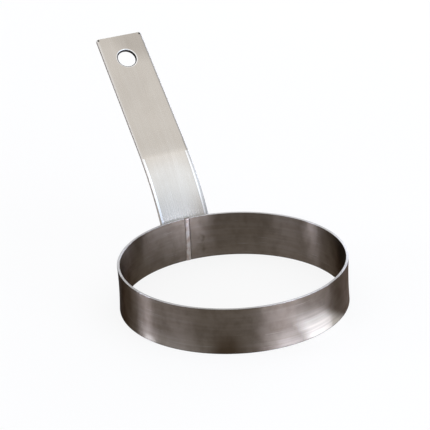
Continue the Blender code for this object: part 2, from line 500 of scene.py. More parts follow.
@dataclass(frozen=True)
class BrushedSteel:
    """Sheet steel with fine parallel brush strokes, a thin film of use, scratches, and bright edges that are
    partly wear and partly painted highlight; on top lie painted highlight patches, painted dark reflections,
    painted shade lines and spots, and a painted sheen.

    Bounds are the stretch of a pattern's values over which a feature fades in, and shares say how strong
    it then is.
    """

    name: str
    brushing: Brushing
    colour: Colour
    film_colour: Colour
    edge_colour: Colour
    # Painted shade colour: for the shade about the strap tip's corner and the band's painted dark
    # reflection.
    painted_shade_colour: Colour
    roughness: float
    anisotropy: float
    edge_tint: float
    worn_gloss: float
    stroke_share: float
    scratch_share: float
    film_share: float
    shade_line_share: float
    cloud: Grain
    wave_depth: float = 0.0
    # Painted shade at the strap tip's corners: a wide patch, and small dark spots.
    corner_shades: tuple[Vector, ...] = ()
    corner_shade_spots: tuple[Vector, ...] = ()
    # Painted highlight: the lighter colour laid on patches of the band's lower edge in place of bright
    # reflections.
    highlight_colour: Colour = (0.67, 0.615, 0.54)
    # Painted highlight: near white, for the shoulder bands and the hole's cone.
    highlight_white: Colour = (0.99, 0.97, 0.95)
    # Painted sheen: the lighter, warmer colour of the strap's lower part.
    sheen_colour: Colour = (0.93, 0.85, 0.755)
    # Painted shade colour: for thin dark lines along edges and the spots at the tip's corners.
    dark_shade_colour: Colour = (0.10, 0.095, 0.09)
    # Painted shade: the dark colour of the strap's side faces and outer edge faces.
    side_shade_colour: Colour = (0.25, 0.22, 0.185)
    # Painted shade: the hole's bore, painted nearly black.
    bore_shade_colour: Colour = (0.03, 0.028, 0.026)
    heat_stops: tuple[tuple[float, Colour], ...] = (
        (0.0, (0.55, 0.40, 0.20)),
        (0.45, (0.42, 0.24, 0.16)),
        (0.8, (0.16, 0.17, 0.26)),
        (1.0, (0.34, 0.36, 0.40)),
    )
    heat_bounds: Pair = (0.05, 0.75)
    heat_share: float = 0.85
    fine_strokes: Strokes = Strokes(22.0 * MM, 0.28 * MM, detail=3.0, breaks=0.65)
    broad_strokes: Strokes = Strokes(45.0 * MM, 1.7 * MM, detail=2.0, breaks=0.6)
    scratches: Strokes = Strokes(14.0 * MM, 0.42 * MM, detail=1.0, turn=7.0)
    waves: Grain = Grain((95.0, 95.0, 75.0), detail=1.0)
    stroke_bounds: Pair = (0.35, 0.75)
    scratch_bounds: Pair = (0.70, 0.76)
    film_bounds: Pair = (0.35, 0.68)
    wear_and_highlight_bounds: Pair = (0.2, 0.6)
    wear_and_highlight_shares: Pair = (0.6, 1.0)
    patch_bounds: Pair = (0.3, 0.7)
    highlight_shares: Pair = (0.8, 1.2)
    sheen_shares: Pair = (0.36, 0.6)
    line_bounds: Pair = (0.42, 0.46)
    line_share: float = 0.35
    band_bounds: Pair = (0.48, 0.51)
    shade_line_bounds: Pair = (0.7, 0.9)
    gloss_bounds: Pair = (0.25, 0.75)
    gloss_swing: Pair = (0.88, 1.06)
    dull_bounds: Pair = (0.4, 0.75)
    dull_rise: float = 0.03
    sheared_rise: float = 0.25
    corner_shade_size: float = 17.5 * MM
    corner_shade_share: float = 0.35
    corner_shade_spot_size: float = 0.65 * MM
    stroke_depth: float = 0.006 * MM
    stroke_strength: float = 0.5
    scratch_depth: float = 0.012 * MM
    scratch_strength: float = 0.25

    def patterns(self, sheet: Sheet, centre: Vector) -> Patterns:
        """Adds the patterns that run about the piece's middle, and reads where its edges are worn and
        painted bright and where its sides are sheared and painted dark as shade.
        """
        broad = sheet.grain(centre, self.broad_strokes.grain(self.brushing))
        # Edges: partly wear, partly painted highlight.
        wear_and_highlight_share = sheet.spread(broad, self.wear_and_highlight_bounds, self.wear_and_highlight_shares)
        return Patterns(
            fine=sheet.grain(centre, self.fine_strokes.grain(self.brushing)),
            broad=broad,
            streaks=sheet.grain(centre, self.scratches.grain(self.brushing)),
            cloud=sheet.grain(centre, self.cloud),
            wear_and_highlight=sheet.number("MULTIPLY", sheet.attribute("edge"), wear_and_highlight_share),
            sheared_and_shaded=sheet.attribute("sheared_and_shaded"),
        )

    def brushed_colour(self, sheet: Sheet, patterns: Patterns) -> NodeSocket:
        """The sheet's own colour with its film, painted shade near the tip's corner, strokes, scratches and
        heat tints.
        """
        film = sheet.spread(patterns.cloud, self.film_bounds, (0.0, self.film_share))
        body = sheet.blend(film, self.colour, self.film_colour)
        # Painted shade about the strap tip's corner.
        for corner_shade in self.corner_shades:
            share = sheet.number("MULTIPLY", sheet.near(corner_shade, self.corner_shade_size), self.corner_shade_share)
            body = sheet.blend(share, body, self.painted_shade_colour)
        strokes = sheet.spread(patterns.broad, self.stroke_bounds, (0.0, self.stroke_share))
        stroked = sheet.blend(strokes, body, self.edge_colour)
        scratches = sheet.spread(patterns.streaks, self.scratch_bounds, (0.0, self.scratch_share))
        scored = sheet.blend(scratches, stroked, self.edge_colour)
        heat = sheet.attribute("heat")
        tinted = sheet.spread(heat, self.heat_bounds, (0.0, self.heat_share))
        return sheet.blend(tinted, scored, sheet.ramp(heat, self.heat_stops))

    def painted_light_colour(self, sheet: Sheet, patterns: Patterns, colour: NodeSocket) -> NodeSocket:
        """A colour with painted highlight patches, a painted dark reflection patch, the strap's lower part
        painted lighter as a sheen, and edges that are partly worn and partly painted bright as a highlight.
        """
        # Painted highlight: patches of the band's lower edge are lightened in place of bright reflections.
        patches = sheet.spread(patterns.broad, self.patch_bounds, self.highlight_shares)
        highlight = sheet.number("MULTIPLY", sheet.attribute("painted_light"), patches)
        highlighted = sheet.blend(highlight, colour, self.highlight_colour)
        # Painted dark reflection: a patch at the front of the band is darkened.
        darkened = sheet.blend(sheet.attribute("darkened"), highlighted, self.painted_shade_colour)
        # Painted sheen: the strap's lower part is lightened.
        sheen_patches = sheet.spread(patterns.broad, self.patch_bounds, self.sheen_shares)
        lower_sheen = sheet.number("MULTIPLY", sheet.attribute("lower sheen"), sheen_patches)
        sheened = sheet.blend(lower_sheen, darkened, self.sheen_colour)
        # Edges lightened: partly wear, partly painted highlight.
        return sheet.blend(patterns.wear_and_highlight, sheened, self.edge_colour)

    def side_colours(self, sheet: Sheet, patterns: Patterns, colour: NodeSocket) -> NodeSocket:
        """A colour with painted highlight bands on the shoulders and the hole's cone, painted shade lines,
        the sides and bore painted dark as shade, and painted shade spots at the tip's corners.
        """
        # Painted highlight bands on the lower shoulders with a thin painted shade line beside them, and the
        # hole's cone painted as a highlight.
        shoulder = sheet.attribute("edge_highlight")
        line = sheet.spread(shoulder, self.line_bounds, (0.0, self.line_share))
        beside_band = sheet.spread(shoulder, self.band_bounds, (1.0, 0.0))
        lined = sheet.blend(sheet.number("MULTIPLY", line, beside_band), colour, self.dark_shade_colour)
        band = sheet.spread(shoulder, self.band_bounds, (0.0, 1.0))
        polish_and_highlight = sheet.number("ADD", band, sheet.attribute("cone"))
        edge_highlight = sheet.blend(polish_and_highlight, lined, self.highlight_white)
        # Painted shade lines: along the band's bottom edge and the strap's right edge.
        shade_line = sheet.spread(sheet.attribute("shade_line"), self.shade_line_bounds, (0.0, self.shade_line_share))
        shade_lined = sheet.blend(shade_line, edge_highlight, self.dark_shade_colour)
        # Sides painted dark as shade, and the bore painted nearly black as shade.
        side_shaded = sheet.blend(patterns.sheared_and_shaded, shade_lined, self.side_shade_colour)
        cut = sheet.blend(sheet.attribute("bore"), side_shaded, self.bore_shade_colour)
        # Painted shade: small dark spots at the tip's corners.
        for corner_shade_spot in self.corner_shade_spots:
            cut = sheet.blend(sheet.near(corner_shade_spot, self.corner_shade_spot_size), cut, self.dark_shade_colour)
        return cut

    def gloss(self, sheet: Sheet, patterns: Patterns) -> NodeSocket:
        """The roughness: it swings with the strokes, and worn edges are smoother than sheared sides."""
        low, high = self.gloss_swing
        swing = sheet.spread(patterns.fine, self.gloss_bounds, (self.roughness * low, self.roughness * high))
        dull = sheet.spread(patterns.cloud, self.dull_bounds, (0.0, self.dull_rise))
        dulled = sheet.number("ADD", swing, dull)
        wear_and_highlight = sheet.number("MULTIPLY", patterns.wear_and_highlight, self.worn_gloss)
        polish_and_highlight = sheet.number("SUBTRACT", dulled, wear_and_highlight)
        torn = sheet.number("MULTIPLY", patterns.sheared_and_shaded, self.sheared_rise)
        return sheet.number("ADD", polish_and_highlight, torn)

    def relief(self, sheet: Sheet, patterns: Patterns, centre: Vector) -> NodeSocket:
        """The bumped normal: the wall's faint waves, the brush strokes on them, and the scratches."""
        waves = None
        if self.wave_depth > 0.0:
            waves = sheet.bump(sheet.grain(centre, self.waves), self.wave_depth, 1.0)
        grooves = sheet.bump(patterns.fine, self.stroke_depth, self.stroke_strength, waves)
        return sheet.bump(patterns.streaks, self.scratch_depth, self.scratch_strength, grooves)

    def tangent(self, sheet: Sheet, centre: Vector) -> NodeSocket:
        """The direction across the strokes, along which the gloss spreads."""
        if self.brushing is Brushing.ALONG_THE_STRAP:
            node = sheet.nodes.new("ShaderNodeCombineXYZ")
            node.inputs["X"].default_value = 1.0
            return node.outputs["Vector"]
        outward = sheet.vector("SUBTRACT", sheet.place(), centre)
        along = sheet.vector("CROSS_PRODUCT", UP, outward)
        level = sheet.vector("NORMALIZE", along)
        return sheet.vector("NORMALIZE", sheet.vector("CROSS_PRODUCT", level, sheet.face_normal()))

    def make(self, centre: Vector) -> Material:
        """Builds the material.

        Args:
            centre: The middle of the piece, about which its patterns run.

        Returns:
            The finished material.
        """
        sheet = Sheet(self.name)
        inputs = sheet.shader.inputs
        patterns = self.patterns(sheet, centre)
        painted_light = self.painted_light_colour(sheet, patterns, self.brushed_colour(sheet, patterns))
        sheet.put(inputs["Base Color"], self.side_colours(sheet, patterns, painted_light))
        sheet.put(inputs["Roughness"], self.gloss(sheet, patterns))
        sheet.put(inputs["Normal"], self.relief(sheet, patterns, centre))
        sheet.put(inputs["Tangent"], self.tangent(sheet, centre))
        inputs["Metallic"].default_value = 1.0
        inputs["Anisotropic"].default_value = self.anisotropy
        inputs["Specular Tint"].default_value = (self.edge_tint,) * 3 + (1.0,)
        return sheet.material


@dataclass(frozen=True)
class FusedSteel:
    """Weld metal: dull, faintly pitted, and tinted by its heat."""

    name: str
    colour: Colour
    tint: Colour
    roughness: float
    pits: Grain = Grain((2600.0, 2600.0, 2600.0), detail=3.0, breaks=0.6)
    patches: Grain = Grain((500.0, 500.0, 380.0), detail=2.0)
    tint_bounds: Pair = (0.35, 0.7)
    pit_bounds: Pair = (0.3, 0.7)
    gloss_swing: Pair = (0.8, 1.2)
    pit_depth: float = 0.02 * MM
    pit_strength: float = 0.35

    def make(self, centre: Vector) -> Material:
        """Builds the material.

        Args:
            centre: The middle of the weld.

        Returns:
            The finished material.
        """
        sheet = Sheet(self.name)
        inputs = sheet.shader.inputs
        pits = sheet.grain(centre, self.pits)
        tinted = sheet.spread(sheet.grain(centre, self.patches), self.tint_bounds, (0.0, 1.0))
        low, high = self.gloss_swing
        gloss = sheet.spread(pits, self.pit_bounds, (self.roughness * low, self.roughness * high))
        sheet.put(inputs["Base Color"], sheet.blend(tinted, self.colour, self.tint))
        sheet.put(inputs["Roughness"], gloss)
        sheet.put(inputs["Normal"], sheet.bump(pits, self.pit_depth, self.pit_strength))
        inputs["Metallic"].default_value = 1.0
        return sheet.material


@dataclass(frozen=True)
class MarkedPlace:
    """A stretch of the band's lower edge whose colour is painted: lighter for a painted highlight, darker
    for a painted dark reflection; its angles are in degrees.
    """

    azimuth: float
    plateau: float
    fade: float
    rise: float
    amount: float
    lean: float = 0.0

    def share(self, azimuth: float, height: float) -> float:
        """How marked the band is at an azimuth and a height above its lower edge, from 0 to 1."""
        up = height / self.rise
        middle = math.radians(self.azimuth + self.lean * up)
        turn = abs(math.degrees((azimuth - middle + math.pi) % math.tau - math.pi))
        return self.amount * ease((turn - self.plateau * (1.0 - up)) / self.fade) * ease(up)


@dataclass
class Band:
    """The strip that is rolled into the ring, from one side of the seam round to the other."""

    ring: RingPlace
    spots: WeldSpots
    finish: BrushedSteel
    height: float = BAND_HEIGHT
    wall: float = BAND_WALL
    saddle: float = BAND_SADDLE
    edge_round: float = 0.2 * MM
    round_segments: int = 5
    wall_rows: int = 40
    seam_gap: float = 2.6 * MM
    fine_stretch: float = 15.0 * MM
    fine_steps: int = 34
    coarse_steps: int = 220
    shade_line_rise: float = 0.3 * MM
    seam_tint_width: float = 3.2 * MM
    seam_tint_share: float = 0.8
    # Painted highlights: the stretches of the band's lower edge that are lightened in place of bright
    # reflections.
    highlight_places: tuple[MarkedPlace, ...] = (
        MarkedPlace(azimuth=-62.2, plateau=9.0, fade=10.5, rise=17.5 * MM, amount=0.97, lean=-19.5),
        MarkedPlace(azimuth=-86.3, plateau=1.5, fade=14.0, rise=11.0 * MM, amount=0.2),
        MarkedPlace(azimuth=-150.0, plateau=0.0, fade=34.0, rise=9.0 * MM, amount=0.15),
        MarkedPlace(azimuth=-160.5, plateau=1.5, fade=5.5, rise=4.5 * MM, amount=0.45),
    )
    # Painted dark reflection: the stretch at the front of the band that is darkened.
    dark_reflection_places: tuple[MarkedPlace, ...] = (
        MarkedPlace(azimuth=-118.4, plateau=2.0, fade=9.5, rise=17.0 * MM, amount=0.9),
    )

    @property
    def inside_radius(self) -> float:
        """The inner wall's distance from the ring's axis."""
        return self.ring.radius - self.wall

    def on_inner_wall(self, place: Vector) -> bool:
        """Whether a point of the strip is on its inner wall."""
        return self.ring.reach(place) < self.inside_radius + self.wall / 4

    def section(self) -> Object:
        """The strip's cross-section beside the seam, as a closed line of edges, open in edit mode."""
        azimuth = math.pi / 2 + self.seam_gap / 2 / self.ring.radius
        middle = self.ring.on_wall(azimuth, self.ring.radius - self.wall / 2, self.height / 2)
        bpy.ops.mesh.primitive_plane_add(size=1.0, location=middle, rotation=(math.pi / 2, 0.0, azimuth))
        strip = bpy.context.active_object
        strip.scale = (self.wall, self.height, 1.0)
        settle(strip)
        edit(strip)
        bpy.ops.mesh.select_all(action="SELECT")
        bpy.ops.mesh.bevel(offset=self.edge_round, segments=self.round_segments, affect="VERTICES")
        bpy.ops.mesh.select_all(action="SELECT")
        bpy.ops.mesh.delete(type="ONLY_FACE")
        select_edges(lambda a, b: abs(a.z - b.z) > self.height / 2)
        bpy.ops.mesh.subdivide(number_cuts=self.wall_rows - 1)
        leave_edit_mode()
        low = self.ring.centre.z
        displace(strip, "saddle", lambda place: saddle_share(place.z - low, self.height), -self.saddle, "Y")
        edit(strip)
        return strip

    def build(self) -> Object:
        """Spins the cross-section round the ring and presses in the electrodes' marks."""
        strip = self.section()
        fine_angle = self.fine_stretch / self.ring.radius
        seam_angle = self.seam_gap / self.ring.radius
        coarse_angle = math.tau - seam_angle - 2 * fine_angle
        bpy.ops.mesh.select_all(action="SELECT")
        for steps, angle in (
            (self.fine_steps, fine_angle),
            (self.coarse_steps, coarse_angle),
            (self.fine_steps, fine_angle),
        ):
            bpy.ops.mesh.spin(steps=steps, angle=-angle, center=self.ring.centre, axis=UP)
        bpy.ops.mesh.select_all(action="SELECT")
        bpy.ops.mesh.remove_doubles(threshold=MERGE_DISTANCE)
        bpy.ops.mesh.select_all(action="SELECT")
        bpy.ops.mesh.fill_holes(sides=0)
        bpy.ops.mesh.select_all(action="SELECT")
        bpy.ops.mesh.normals_make_consistent(inside=False)
        leave_edit_mode()
        strip.name = "brushed_band"
        strip.data.name = "brushed_band"
        self.press_marks(strip)
        smooth_faces(strip)
        self.mark_surface(strip)
        strip.data.materials.append(self.finish.make(self.ring.centre))
        return strip

    def press_marks(self, strip: Object) -> None:
        """Presses the electrodes' marks into the inner wall."""

        def depth(place: Vector) -> float:
            if place.y < self.ring.centre.y or not self.on_inner_wall(place):
                return 0.0
            return self.spots.mark(place, self.inside_radius)

        displace(strip, "marks", depth, -self.spots.mark_depth)

    def mark_surface(self, strip: Object) -> None:
        """Stores where the strip's rim is worn and painted bright, its painted shadow line, its painted
        highlight and painted dark reflection patches, and where its welds tinted it.
        """

        # The rim's edge: partly wear, partly painted highlight.
        def edge(place: Vector) -> float:
            to_rim = self.ring.centre.z + self.height - place.z
            return ease(to_rim / self.edge_round)

        # Painted shadow: a thin dark line along the band's bottom edge.
        def shade_line(place: Vector) -> float:
            return 1.0 if place.z - self.ring.centre.z < self.shade_line_rise else 0.0

        def heat(place: Vector) -> float:
            if place.y < self.ring.centre.y:
                return 0.0
            seam = ease((abs(place.x) - self.seam_gap / 2) / self.seam_tint_width)
            spot = self.spots.tint(place, self.inside_radius) if self.on_inner_wall(place) else 0.0
            return max(self.seam_tint_share * seam, spot)

        def marked(places: tuple[MarkedPlace, ...], place: Vector) -> float:
            outward = place - self.ring.centre
            if outward.xy.length < self.inside_radius + self.wall / 2:
                return 0.0
            azimuth = math.atan2(outward.y, outward.x)
            return max(spot.share(azimuth, outward.z) for spot in places)

        set_point_values(strip, "edge", edge)
        set_point_values(strip, "shade_line", shade_line)
        set_point_values(strip, "heat", heat)
        # Mask of the painted highlight patches.
        set_point_values(strip, "painted_light", lambda place: marked(self.highlight_places, place))
        # Mask of the painted dark reflection patch.
        set_point_values(strip, "darkened", lambda place: marked(self.dark_reflection_places, place))


@dataclass
class SeamBead:
    """The butt weld's bead: ground flush outside, crowned and rippled inside."""

    ring: RingPlace
    finish: FusedSteel
    height: float = BAND_HEIGHT
    wall: float = BAND_WALL
    saddle: float = BAND_SADDLE
    width: float = 2.62 * MM
    crown: float = 0.2 * MM
    crown_share: float = 0.36
    crown_segments: int = 6
    ripple_pitch: float = 0.85 * MM
    ripple_depth: float = 0.07 * MM
    ripple_bow: float = 0.18
    corner_round: float = 0.12 * MM
    corner_segments: int = 2
    corner_limit: float = math.radians(60.0)
    smooth_limit: float = 50.0
    face_slack: float = 0.01 * MM
    rows: int = 120

    def build(self) -> Object:
        """Extrudes the bead's section up the seam and ripples its crown."""
        depth = self.wall + self.crown
        middle = self.ring.on_wall(math.pi / 2, self.ring.radius - depth / 2, self.height / 2)
        bpy.ops.mesh.primitive_cube_add(size=1.0, location=middle)
        bead = bpy.context.active_object
        bead.scale = (self.width, depth, self.height)
        settle(bead)
        edit(bead)
        crown_line = middle.y - depth / 2 + self.face_slack
        select_edges(lambda a, b: max(a.y, b.y) < crown_line and abs(a.z - b.z) > self.height / 2)
        bpy.ops.mesh.bevel(
            offset=self.width * self.crown_share,
            offset_type="WIDTH",
            segments=self.crown_segments,
            affect="EDGES",
        )
        low = self.ring.centre.z
        cut_across((low + self.height * row / self.rows for row in range(1, self.rows)), UP)
        leave_edit_mode()
        bead.name = "seam_bead"
        bead.data.name = "seam_bead"
        displace(bead, "saddle", lambda place: saddle_share(place.z - low, self.height), -self.saddle, "Y")
        displace(bead, "crown", self.crown_weight, self.ripple_depth, "Y")
        apply_modifier(
            bead,
            "BEVEL",
            width=self.corner_round,
            segments=self.corner_segments,
            limit_method="ANGLE",
            angle_limit=self.corner_limit,
        )
        smooth_faces(bead, self.smooth_limit)
        bead.data.materials.append(self.finish.make(middle))
        return bead

    def crown_weight(self, place: Vector) -> float:
        """How much a ripple's valley draws a point back towards the wall, from 0 to 1."""
        inside = self.ring.centre.y + self.ring.radius - self.wall
        if place.y > inside - self.saddle / 3:
            return 0.0
        wave = math.tau * (place.z + self.ripple_bow * abs(place.x)) / self.ripple_pitch
        return 0.5 - 0.5 * math.cos(wave)


@dataclass
class StrapHandle:
    """The strap: an upright foot on the band's back, a kick, a sweep, and a straight blade with a hole."""

    ring: RingPlace
    spots: WeldSpots
    finish: BrushedSteel
    clearance: float = 0.3 * MM
    thickness: float = 1.5 * MM
    foot_width: float = 24.0 * MM
    tip_width: float = 22.6 * MM
    foot_lift: float = 1.5 * MM
    foot_height: float = 11.5 * MM
    kick_radius: float = 12.0 * MM
    kick_angle: float = math.radians(26.5)
    sweep_radius: float = 95.0 * MM
    sweep_angle: float = math.radians(23.0)
    blade_length: float = 60.0 * MM
    foot_corner: float = 2.0 * MM
    tip_corner: float = 1.4 * MM
    edge_round: float = 0.55 * MM
    edge_segments: int = 4
    edge_limit: float = math.radians(50.0)
    side_slope: float = math.radians(46.0)
    shoulder: float = 1.8 * MM
    left_band: float = 1.35 * MM
    shoulder_drop: float = 0.2 * MM
    shoulder_step: float = 0.43 * MM
    shoulder_columns: int = 3
    shoulder_run: float = 2.5 * MM
    # Where the strap's lower part is painted lighter as a sheen, and how it fades.
    sheen_line_drop: float = 6.0 * MM
    sheen_run: float = 9.0 * MM
    rim_sheen_run: float = 18.0 * MM
    sheen_fade: float = 2.2 * MM
    fold_sheen: float = 0.58
    hole_diameter: float = 8.6 * MM
    hole_edge_width: float = 0.8 * MM
    hole_back_edge: float = 0.2 * MM
    hole_lip: float = 0.4 * MM
    # How strongly the hole's cone is painted as a highlight.
    hole_highlight: float = 1.0
    hole_edge_slope: float = math.radians(30.0)
    hole_to_tip: float = 12.7 * MM
    corner_shade_inset: float = 0.9 * MM
    lip_share: float = 5.0
    arc_steps: int = 4
    hole_sides: int = 96
    corner_segments: int = 8
    columns: int = 36
    foot_rows: int = 26
    kick_rows: int = 12
    sweep_rows: int = 20

    @property
    def line_radius(self) -> float:
        """The upright foot's middle surface, from the ring's axis."""
        return self.ring.radius + self.clearance + self.thickness / 2

    @property
    def line_y(self) -> float:
        """The upright strap's middle surface, in Y."""
        return self.ring.centre.y + self.line_radius

    @property
    def foot_end(self) -> float:
        """The height of the foot's lower end."""
        return self.ring.centre.z + self.foot_lift

    @property
    def kick_start(self) -> float:
        """The height at which the kick starts."""
        return self.foot_end + self.foot_height

    @property
    def sweep_start(self) -> float:
        """The height at which the sweep starts, on the strap before it is bent."""
        return self.kick_start + self.kick_radius * self.kick_angle

    @property
    def blade_start(self) -> float:
        """The height at which the blade starts, on the strap before it is bent."""
        return self.sweep_start + self.sweep_radius * self.sweep_angle

    @property
    def sheen_line(self) -> float:
        """The height, on the strap before it is bent, up to which its lower part is painted lighter as a
        sheen.
        """
        return self.blade_start - self.sheen_line_drop

    @property
    def tip(self) -> float:
        """The tip's height, on the strap before it is bent."""
        return self.blade_start + self.blade_length

    def bend_rows(self) -> list[Triple]:
        """Each small bend from the tip down: the height of its pivot, its angle, and half its stretch."""
        bends = []
        for start, radius, angle, rows in (
            (self.kick_start, self.kick_radius, self.kick_angle, self.kick_rows),
            (self.sweep_start, self.sweep_radius, self.sweep_angle, self.sweep_rows),
        ):
            stretch = radius * angle / rows
            bends += [(start + (row + 0.5) * stretch, angle / rows, stretch / 2) for row in range(rows)]
        return bends[::-1]

    def flat_pattern(self) -> Object:
        """The strap's middle surface, upright and flat, with its taper, rounded corners and rows."""
        length = self.tip - self.foot_end
        middle = Vector((0.0, self.line_y, self.foot_end + length / 2))
        bpy.ops.mesh.primitive_plane_add(size=1.0, location=middle, rotation=(math.pi / 2, 0.0, 0.0))
        strap = bpy.context.active_object
        strap.scale = (self.foot_width, length, 1.0)
        settle(strap)
        edit(strap)
        cut_across([self.kick_start], UP)
        for end, corner in ((self.tip, self.tip_corner), (self.foot_end, self.foot_corner)):
            select_points(lambda place: abs(place.z - end) < self.edge_round)
            if end == self.tip:
                taper = (self.tip_width / self.foot_width, 1.0, 1.0)
                bpy.ops.transform.resize(value=taper, center_override=(0.0, self.line_y, end))
            bpy.ops.mesh.bevel(offset=corner, segments=self.corner_segments, affect="VERTICES")
        rows = [self.kick_start]
        rows += [self.sheen_line + above for above in (0.0, self.edge_round, self.sheen_fade)]
        rows += [pivot + half for pivot, _, half in self.bend_rows()]
        foot_step = (self.foot_height - self.foot_corner) / self.foot_rows
        rows += [self.kick_start - foot_step * row for row in range(1, self.foot_rows + 1)]
        cut_across(rows, UP)
        inner = self.tip_width / 2 - self.tip_corner
        columns = [inner * (2 * column / self.columns - 1) for column in range(self.columns + 1)]
        cut_across(columns, SIDEWAYS)
        steps = [inner + step * self.shoulder_step for step in range(1, self.shoulder_columns + 1)]
        turned = [side * step for step in steps for side in (1.0, -1.0)]
        top = self.blade_start + MERGE_DISTANCE
        cut_across(turned, SIDEWAYS, lambda place: place.z < top)
        leave_edit_mode()
        return strap

    def thicken(self, strap: Object) -> None:
        """Gives the flat strap its thickness and rounded edges, and turns its lower shoulders back."""
        apply_modifier(strap, "SOLIDIFY", thickness=self.thickness, offset=0.0, use_even_offset=True)
        apply_modifier(
            strap,
            "BEVEL",
            width=self.edge_round,
            segments=self.edge_segments,
            limit_method="ANGLE",
            angle_limit=self.edge_limit,
        )
        # Side faces and outer edge faces: sheared, so rougher, and painted dark as shade.
        sideways = math.cos(self.side_slope)
        set_face_values(strap, "sheared_and_shaded", lambda face: 1.0 if abs(face.normal.y) < sideways else 0.0)

        def shoulder(place: Vector) -> float:
            out = min(max(1.0 - self.to_side(place) / self.shoulder, 0.0), 1.0)
            flat = self.thickness - 2 * self.edge_round
            front = min(max((self.line_y + flat / 2 - place.y) / flat, 0.0), 1.0)
            low = ease((self.kick_start - place.z) / self.shoulder_run + 1.0)
            high = ease((place.z - self.sheen_line) / self.shoulder_run + 1.0)
            return out * front * (1.0 - low) * high

        displace(strap, "shoulder", shoulder, self.shoulder_drop, "Y")
        self.mark_front(strap)

    def mark_front(self, strap: Object) -> None:
        """Stores where the flat strap's edges are worn and painted bright, where painted highlight bands and
        a painted shade line go, and where its lower part is painted lighter as a sheen.
        """
        line = self.sheen_line + self.edge_round / 2

        # The strap's rounded edges: partly wear, partly painted highlight.
        def edge(place: Vector) -> float:
            return ease(self.to_side(place) / (2.0 * self.edge_round))

        # Painted shade: a dark line along the strap's right edge.
        def shade_line(place: Vector) -> float:
            return ease((self.half_width(place.z) - self.edge_round - place.x) / self.shoulder)

        # Painted highlight: bright bands along the lower strap's shoulders.
        def edge_highlight(place: Vector) -> float:
            if place.z > line:
                return 0.0
            band = self.shoulder if place.x > 0.0 else self.left_band
            return max(0.0, 1.0 - self.to_side(place) / (2.0 * band))

        # Painted sheen: lighter below the fold with a short fade above it, and lightest about the kick.
        def lower_sheen(place: Vector) -> float:
            if place.z > self.sheen_line:
                return self.fold_sheen * max(0.0, 1.0 - (place.z - self.sheen_line) / self.sheen_fade)
            below_fold = self.fold_sheen * ease((self.sheen_line - place.z) / self.sheen_run)
            return max(below_fold, ease((place.z - self.kick_start) / self.rim_sheen_run))

        set_point_values(strap, "edge", edge)
        set_point_values(strap, "shade_line", shade_line)
        set_point_values(strap, "edge_highlight", edge_highlight)
        set_point_values(strap, "lower sheen", lower_sheen)

    def form(self, strap: Object) -> None:
        """Curves the foot across to the band's curve, easing to flat, then bends the strap lengthwise."""
        hugged = self.blade_start - self.kick_start
        weigh_points(strap, "hug", lambda place: ease((place.z - self.kick_start) / hugged))
        strap.data.transform(Matrix.Translation((0.0, -self.line_y, 0.0)))
        apply_modifier(
            strap,
            "SIMPLE_DEFORM",
            deform_method="BEND",
            deform_axis="Z",
            angle=-self.foot_width / self.line_radius,
            vertex_group="hug",
        )
        strap.data.transform(Matrix.Translation((0.0, self.line_y, 0.0)))
        edit(strap)
        for pivot, angle, _ in self.bend_rows():
            select_points(lambda place: place.z > pivot)
            bpy.ops.transform.rotate(
                value=angle,
                orient_axis="X",
                orient_type="GLOBAL",
                center_override=(0.0, self.line_y, pivot),
            )
        leave_edit_mode()

    def blade_place(self, along: float) -> Matrix:
        """A place in the blade's middle: Z out of its front face, Y towards its tip.

        Args:
            along: How far past the blade's start it is.

        Returns:
            The place as a matrix.
        """
        radius = self.line_radius
        height = self.kick_start
        lean = 0.0
        bends = ((self.kick_radius, self.kick_angle), (self.sweep_radius, self.sweep_angle))
        for bend_radius, angle in bends:
            radius += bend_radius * (math.cos(lean) - math.cos(lean + angle))
            height += bend_radius * (math.sin(lean + angle) - math.sin(lean))
            lean += angle
        radius += along * math.sin(lean)
        height += along * math.cos(lean)
        middle = Vector((0.0, self.ring.centre.y + radius, height))
        return Matrix.Translation(middle) @ Matrix.Rotation(math.pi / 2 - lean, 4, "X")

    def flank(self, width: float) -> list[Pair]:
        """One end of the hole's cutter, as radius and height at each ring, from the bore out past the face.

        Args:
            width: How far the hole's broken edge reaches beyond the bore.

        Returns:
            The rings: a small arc at the bore, then a cone.
        """
        bore = self.hole_diameter / 2
        slope = self.hole_edge_slope
        arc = width / self.lip_share
        turns = [(math.pi / 2 - slope) * step / self.arc_steps for step in range(self.arc_steps + 1)]
        inset = arc * (1.0 - math.sin(slope))
        base = self.thickness / 2 - (width - inset) * math.tan(slope) - arc * math.cos(slope)
        rings = [(bore + arc * (1 - math.cos(turn)), base + arc * math.sin(turn)) for turn in turns]
        out, up = rings[-1]
        for reach in (min(self.hole_lip, width) - inset, 2.0 * width):
            rings.append((out + reach, up + reach * math.tan(slope)))
        return rings

